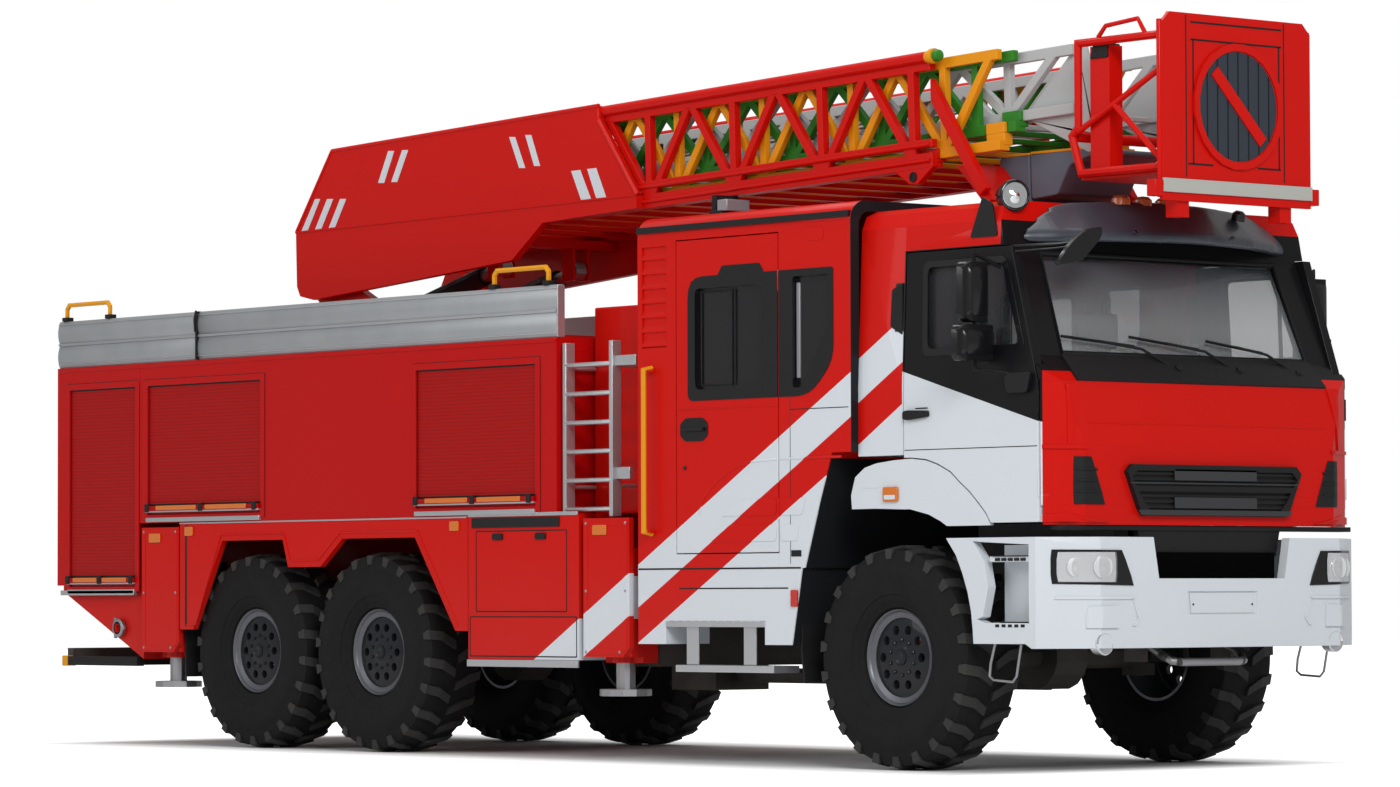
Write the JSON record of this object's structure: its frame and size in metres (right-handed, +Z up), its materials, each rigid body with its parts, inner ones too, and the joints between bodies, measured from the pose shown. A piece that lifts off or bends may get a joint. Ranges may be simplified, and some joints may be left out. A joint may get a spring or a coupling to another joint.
{
  "type": "fire engine with a telescopic ladder",
  "caption": "Three-axle crew-cab fire engine with a telescopic ladder on a turntable, a levelled rescue basket, side shutters and outriggers.",
  "frame": {"origin": "on the ground under the middle of the overall box", "axes": "+X forwards, +Y to the vehicle's left, +Z up"},
  "size_m": [9.923, 2.915, 4.133],
  "materials": {
    "aluminium": "brushed",
    "black_paint": "satin",
    "black_plastic": "matte",
    "cast_iron": "cast",
    "clear_glass": "clear",
    "dark_red_paint": "satin",
    "green_paint": "gloss",
    "grey_paint": "gloss",
    "lamp_lens": "gloss",
    "red_paint": "gloss",
    "rubber_tyre": "matte",
    "seat_cloth": "woven",
    "steel": "machined",
    "white_paint": "gloss",
    "yellow_paint": "gloss"
  },
  "bodies": {
    "truck": {"access_ladder": "aluminium", "axles": "black_paint", "bumper": "white_paint", "cab_interior": "black_plastic", "cabinet": "red_paint", "chassis_frame": "black_paint", "crew_cab": "red_paint", "crew_steps": "steel", "engine": "cast_iron", "equipment_body": "red_paint", "fenders": "white_paint", "front_cab": "red_paint", "glass": "clear_glass", "grille": "black_plastic", "handrails": "yellow_paint", "lamps": "lamp_lens", "lower_body": "red_paint", "parapets": "aluminium", "seats": "seat_cloth", "shutters": "dark_red_paint", "visor": "black_plastic"},
    "wheel_front_left": {"tyre_front_left": "rubber_tyre", "rim_front_left": "grey_paint"},
    "wheel_front_right": {"tyre_front_right": "rubber_tyre", "rim_front_right": "grey_paint"},
    "wheel_mid_left": {"tyre_mid_left": "rubber_tyre", "rim_mid_left": "grey_paint"},
    "wheel_mid_right": {"tyre_mid_right": "rubber_tyre", "rim_mid_right": "grey_paint"},
    "wheel_rear_left": {"tyre_rear_left": "rubber_tyre", "rim_rear_left": "grey_paint"},
    "wheel_rear_right": {"tyre_rear_right": "rubber_tyre", "rim_rear_right": "grey_paint"},
    "knuckle_left_body": {"knuckle_left": "steel"},
    "knuckle_right_body": {"knuckle_right": "steel"},
    "cab_door_left_body": {"cab_door_left": "red_paint", "cab_door_glass_left": "clear_glass"},
    "crew_door_left_body": {"crew_door_left": "red_paint", "crew_door_glass_left": "clear_glass"},
    "cab_door_right_body": {"cab_door_right": "red_paint", "cab_door_glass_right": "clear_glass"},
    "crew_door_right_body": {"crew_door_right": "red_paint", "crew_door_glass_right": "clear_glass"},
    "turntable_body": {"turntable": "red_paint"},
    "ladder_base": {"ladder_red": "red_paint", "lifting_frame": "red_paint"},
    "ladder_second": {"ladder_yellow": "yellow_paint"},
    "ladder_third": {"ladder_green": "green_paint"},
    "ladder_fourth": {"ladder_grey": "grey_paint"},
    "basket_body": {"basket": "red_paint"},
    "ram_barrel_pair": {"ram_barrels": "black_paint"},
    "ram_rod_pair": {"ram_rods": "steel"},
    "beam_front_left": {"outrigger_front_left": "red_paint"},
    "leg_front_left": {"jack_front_left": "steel"},
    "beam_front_right": {"outrigger_front_right": "red_paint"},
    "leg_front_right": {"jack_front_right": "steel"},
    "beam_rear_left": {"outrigger_rear_left": "red_paint"},
    "leg_rear_left": {"jack_rear_left": "steel"},
    "beam_rear_right": {"outrigger_rear_right": "red_paint"},
    "leg_rear_right": {"jack_rear_right": "steel"}
  },
  "joints": [
    {"name": "steer_left", "type": "hinge", "parent": "truck", "child": "knuckle_left_body", "pos_m": [3.4315, 0.76, 0.624], "axis": [0, 0, 1], "range_deg": [-32, 32]},
    {"name": "steer_right", "type": "hinge", "parent": "truck", "child": "knuckle_right_body", "pos_m": [3.4315, -0.76, 0.624], "axis": [0, 0, 1], "range_deg": [-32, 32]},
    {"name": "spin_front_left", "type": "hinge", "parent": "knuckle_left_body", "child": "wheel_front_left", "pos_m": [3.4315, 1, 0.624], "axis": [0, 1, 0], "continuous": true},
    {"name": "spin_front_right", "type": "hinge", "parent": "knuckle_right_body", "child": "wheel_front_right", "pos_m": [3.4315, -1, 0.624], "axis": [0, 1, 0], "continuous": true},
    {"name": "spin_mid_left", "type": "hinge", "parent": "truck", "child": "wheel_mid_left", "pos_m": [-1.4175, 1, 0.624], "axis": [0, 1, 0], "continuous": true},
    {"name": "spin_mid_right", "type": "hinge", "parent": "truck", "child": "wheel_mid_right", "pos_m": [-1.4175, -1, 0.624], "axis": [0, 1, 0], "continuous": true},
    {"name": "spin_rear_left", "type": "hinge", "parent": "truck", "child": "wheel_rear_left", "pos_m": [-2.7375, 1, 0.624], "axis": [0, 1, 0], "continuous": true},
    {"name": "spin_rear_right", "type": "hinge", "parent": "truck", "child": "wheel_rear_right", "pos_m": [-2.7375, -1, 0.624], "axis": [0, 1, 0], "continuous": true},
    {"name": "open_cab_door_left", "type": "hinge", "parent": "truck", "child": "cab_door_left_body", "pos_m": [4.6115, 1.2, 2], "axis": [0, 0, -1], "range_deg": [0, 70]},
    {"name": "open_crew_door_left", "type": "hinge", "parent": "truck", "child": "crew_door_left_body", "pos_m": [2.5315, 1.25, 2.1], "axis": [0, 0, -1], "range_deg": [0, 75]},
    {"name": "open_cab_door_right", "type": "hinge", "parent": "truck", "child": "cab_door_right_body", "pos_m": [4.6115, -1.2, 2], "axis": [0, 0, 1], "range_deg": [0, 70]},
    {"name": "open_crew_door_right", "type": "hinge", "parent": "truck", "child": "crew_door_right_body", "pos_m": [2.5315, -1.25, 2.1], "axis": [0, 0, 1], "range_deg": [0, 75]},
    {"name": "slew", "type": "hinge", "parent": "truck", "child": "turntable_body", "pos_m": [-1.8685, 0, 2.6], "axis": [0, 0, 1], "continuous": true},
    {"name": "luff", "type": "hinge", "parent": "turntable_body", "child": "ladder_base", "pos_m": [-2.8485, 0, 3.03], "axis": [0, -1, 0], "range_deg": [0, 72]},
    {"name": "ram_swing", "type": "hinge", "parent": "turntable_body", "child": "ram_barrel_pair", "pos_m": [-2.4685, 0, 2.755], "axis": [0, -1, 0], "range_deg": [0, 75]},
    {"name": "ram_stroke", "type": "slide", "parent": "ram_barrel_pair", "child": "ram_rod_pair", "axis": [0.9714, 0, 0.2373], "range_m": [0, 0.56]},
    {"name": "extend_second", "type": "slide", "parent": "ladder_base", "child": "ladder_second", "axis": [0.9995, 0, 0.0332], "range_m": [0, 4.7]},
    {"name": "extend_third", "type": "slide", "parent": "ladder_second", "child": "ladder_third", "axis": [0.9995, 0, 0.0332], "range_m": [0, 4.7]},
    {"name": "extend_fourth", "type": "slide", "parent": "ladder_third", "child": "ladder_fourth", "axis": [0.9995, 0, 0.0332], "range_m": [0, 4.7]},
    {"name": "level_basket", "type": "hinge", "parent": "ladder_fourth", "child": "basket_body", "pos_m": [4.2115, 0, 3.5], "axis": [0, -1, 0], "range_deg": [-72, 0]},
    {"name": "extend_beam_front_left", "type": "slide", "parent": "truck", "child": "beam_front_left", "axis": [0, 1, 0], "range_m": [0, 1.5]},
    {"name": "lower_jack_front_left", "type": "slide", "parent": "beam_front_left", "child": "leg_front_left", "axis": [0, 0, -1], "range_m": [0, 0.375]},
    {"name": "extend_beam_front_right", "type": "slide", "parent": "truck", "child": "beam_front_right", "axis": [0, -1, 0], "range_m": [0, 1.5]},
    {"name": "lower_jack_front_right", "type": "slide", "parent": "beam_front_right", "child": "leg_front_right", "axis": [0, 0, -1], "range_m": [0, 0.375]},
    {"name": "extend_beam_rear_left", "type": "slide", "parent": "truck", "child": "beam_rear_left", "axis": [0, 1, 0], "range_m": [0, 1.5]},
    {"name": "lower_jack_rear_left", "type": "slide", "parent": "beam_rear_left", "child": "leg_rear_left", "axis": [0, 0, -1], "range_m": [0, 0.375]},
    {"name": "extend_beam_rear_right", "type": "slide", "parent": "truck", "child": "beam_rear_right", "axis": [0, -1, 0], "range_m": [0, 1.5]},
    {"name": "lower_jack_rear_right", "type": "slide", "parent": "beam_rear_right", "child": "leg_rear_right", "axis": [0, 0, -1], "range_m": [0, 0.375]}
  ],
  "couplings": [
    {"joint": "steer_right", "follows": "steer_left", "ratio": 1},
    {"joint": "ram_swing", "follows": "luff", "ratio": 1.035},
    {"joint": "ram_stroke", "follows": "luff", "m_per_rad": 0.43},
    {"joint": "extend_third", "follows": "extend_second", "ratio": 1},
    {"joint": "extend_fourth", "follows": "extend_second", "ratio": 1},
    {"joint": "level_basket", "follows": "luff", "ratio": -1}
  ]
}
